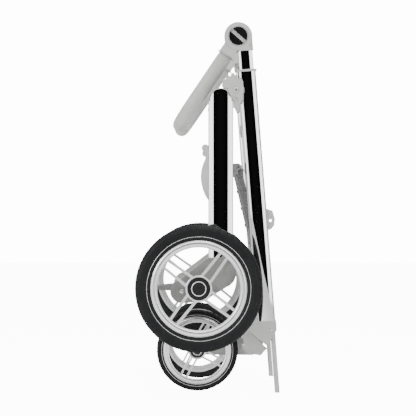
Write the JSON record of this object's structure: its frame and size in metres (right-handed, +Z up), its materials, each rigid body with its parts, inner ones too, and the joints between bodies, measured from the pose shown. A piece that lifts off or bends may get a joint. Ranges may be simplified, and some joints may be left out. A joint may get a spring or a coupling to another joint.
{
  "type": "folding stroller chassis",
  "caption": "Folded stroller chassis standing on end, with folding handle, rear legs with spoked wheels and swivelling front wheels.",
  "frame": {"origin": "on the floor, at the middle of the folded chassis's footprint", "axes": "+Z up along the folded frame, +X towards the stand legs, +Y towards the left-hand wheels"},
  "size_m": [0.343, 0.575, 0.8845],
  "materials": {
    "tyre_rubber": "matt black rubber with a moulded tread",
    "grip_cover": "soft light grey stitched cover",
    "trim_chrome": "bright",
    "black_gloss": "gloss black",
    "rim_silver": "polished silver",
    "chrome_tube": "mirror polished and chromed",
    "steel_pin": "satin",
    "dark_plastic": "satin dark grey",
    "bracket_plastic": "satin mid grey",
    "grey_plastic": "satin light grey"
  },
  "bodies": {
    "main_frame": {"main_tube_right": "chrome_tube", "main_tube_left": "chrome_tube", "tube_collar_right": "grey_plastic", "tube_collar_left": "grey_plastic", "pivot_hub_right": "grey_plastic", "pivot_hub_left": "grey_plastic", "pivot_pins": "steel_pin", "knuckle_right": "grey_plastic", "knuckle_left": "grey_plastic", "stand_leg_right": "grey_plastic", "stand_leg_left": "grey_plastic", "accessory_lug_right": "grey_plastic", "accessory_lug_left": "grey_plastic", "front_cross_tube": "chrome_tube"},
    "upper_frame": {"upper_tube_right": "chrome_tube", "upper_tube_left": "chrome_tube", "hinge_head_right": "grey_plastic", "hinge_head_left": "grey_plastic", "button_bezels": "trim_chrome"},
    "button_right": {"hinge_button_right": "black_gloss", "button_strip_right": "trim_chrome"},
    "button_left": {"hinge_button_left": "black_gloss", "button_strip_left": "trim_chrome"},
    "handle": {"handle_socket_right": "grey_plastic", "handle_socket_left": "grey_plastic", "grip_flanges": "grey_plastic", "handle_grip": "grip_cover"},
    "lever_right": {"collar_lever_right": "grey_plastic"},
    "lever_left": {"collar_lever_left": "grey_plastic"},
    "rear_frame": {"rear_leg_right": "chrome_tube", "rear_leg_left": "chrome_tube", "leg_cap_right": "grey_plastic", "leg_cap_left": "grey_plastic", "strut_lugs": "dark_plastic", "leg_bumpers": "grey_plastic", "rear_bracket_right": "bracket_plastic", "rear_bracket_left": "bracket_plastic", "rear_axle": "steel_pin", "axle_cross_tube": "chrome_tube"},
    "strut": {"strut_right": "dark_plastic", "strut_left": "dark_plastic", "strut_rod": "steel_pin"},
    "brake": {"brake_bar": "steel_pin", "brake_pedal": "dark_plastic"},
    "rear_wheel_right": {"rear_tyre_right": "tyre_rubber", "rear_rim_right": "rim_silver", "rear_cap_right": "black_gloss"},
    "rear_wheel_left": {"rear_tyre_left": "tyre_rubber", "rear_rim_left": "rim_silver", "rear_cap_left": "black_gloss"},
    "caster_right": {"front_fork_right": "grey_plastic", "front_axles_right": "steel_pin"},
    "caster_left": {"front_fork_left": "grey_plastic", "front_axles_left": "steel_pin"},
    "front_wheel_right": {"front_tyre_right": "tyre_rubber", "front_rim_right": "rim_silver", "front_cap_right": "black_gloss"},
    "front_wheel_left": {"front_tyre_left": "tyre_rubber", "front_rim_left": "rim_silver", "front_cap_left": "black_gloss"}
  },
  "joints": [
    {"name": "frame_fold", "type": "hinge", "parent": "main_frame", "child": "rear_frame", "pos_m": [0.06687, 0, 0.7224], "axis": [0, 1, 0], "range_deg": [0, 79]},
    {"name": "handle_slide", "type": "slide", "parent": "main_frame", "child": "upper_frame", "axis": [-0.079, 0, 0.9969], "range_m": [0, 0.08]},
    {"name": "handle_fold", "type": "hinge", "parent": "upper_frame", "child": "handle", "pos_m": [0.07218, 0, 0.851], "axis": [0, 1, 0], "range_deg": [0, 140]},
    {"name": "strut_fold", "type": "hinge", "parent": "rear_frame", "child": "strut", "pos_m": [0.07157, 0, 0.5394], "axis": [0, 1, 0], "range_deg": [-130, 0]},
    {"name": "brake_press", "type": "hinge", "parent": "rear_frame", "child": "brake", "pos_m": [-0.0615, 0, 0.244], "axis": [0, 1, 0], "range_deg": [-20, 0]},
    {"name": "rear_spin_right", "type": "hinge", "parent": "rear_frame", "child": "rear_wheel_right", "pos_m": [-0.0215, -0.266, 0.252], "axis": [0, 1, 0], "continuous": true},
    {"name": "rear_spin_left", "type": "hinge", "parent": "rear_frame", "child": "rear_wheel_left", "pos_m": [-0.0215, 0.266, 0.252], "axis": [0, 1, 0], "continuous": true},
    {"name": "swivel_right", "type": "hinge", "parent": "main_frame", "child": "caster_right", "pos_m": [0.1152, -0.15, 0.1317], "axis": [0.6691, 0, 0.7431], "range_deg": [-120, 24]},
    {"name": "swivel_left", "type": "hinge", "parent": "main_frame", "child": "caster_left", "pos_m": [0.1152, 0.15, 0.1317], "axis": [0.6691, 0, 0.7431], "range_deg": [-24, 120]},
    {"name": "front_spin_right", "type": "hinge", "parent": "caster_right", "child": "front_wheel_right", "pos_m": [-0.0258, -0.15, 0.098], "axis": [0, 1, 0], "continuous": true},
    {"name": "front_spin_left", "type": "hinge", "parent": "caster_left", "child": "front_wheel_left", "pos_m": [-0.0258, 0.15, 0.098], "axis": [0, 1, 0], "continuous": true},
    {"name": "button_press_right", "type": "slide", "parent": "upper_frame", "child": "button_right", "axis": [0, 1, 0], "range_m": [0, 0.003], "stiffness_N_per_m": 400},
    {"name": "button_press_left", "type": "slide", "parent": "upper_frame", "child": "button_left", "axis": [0, -1, 0], "range_m": [0, 0.003], "stiffness_N_per_m": 400},
    {"name": "lever_right_lift", "type": "hinge", "parent": "main_frame", "child": "lever_right", "pos_m": [0.06509, -0.19, 0.77288], "axis": [0, 1, 0], "range_deg": [-25, 0], "stiffness_Nm_per_rad": 0.05},
    {"name": "lever_left_lift", "type": "hinge", "parent": "main_frame", "child": "lever_left", "pos_m": [0.06509, 0.19, 0.77288], "axis": [0, 1, 0], "range_deg": [-25, 0], "stiffness_Nm_per_rad": 0.05}
  ],
  "couplings": [
    {"joint": "strut_fold", "follows": "frame_fold", "ratio": -1.606},
    {"joint": "handle_fold", "follows": "frame_fold", "ratio": 1.7721}
  ]
}
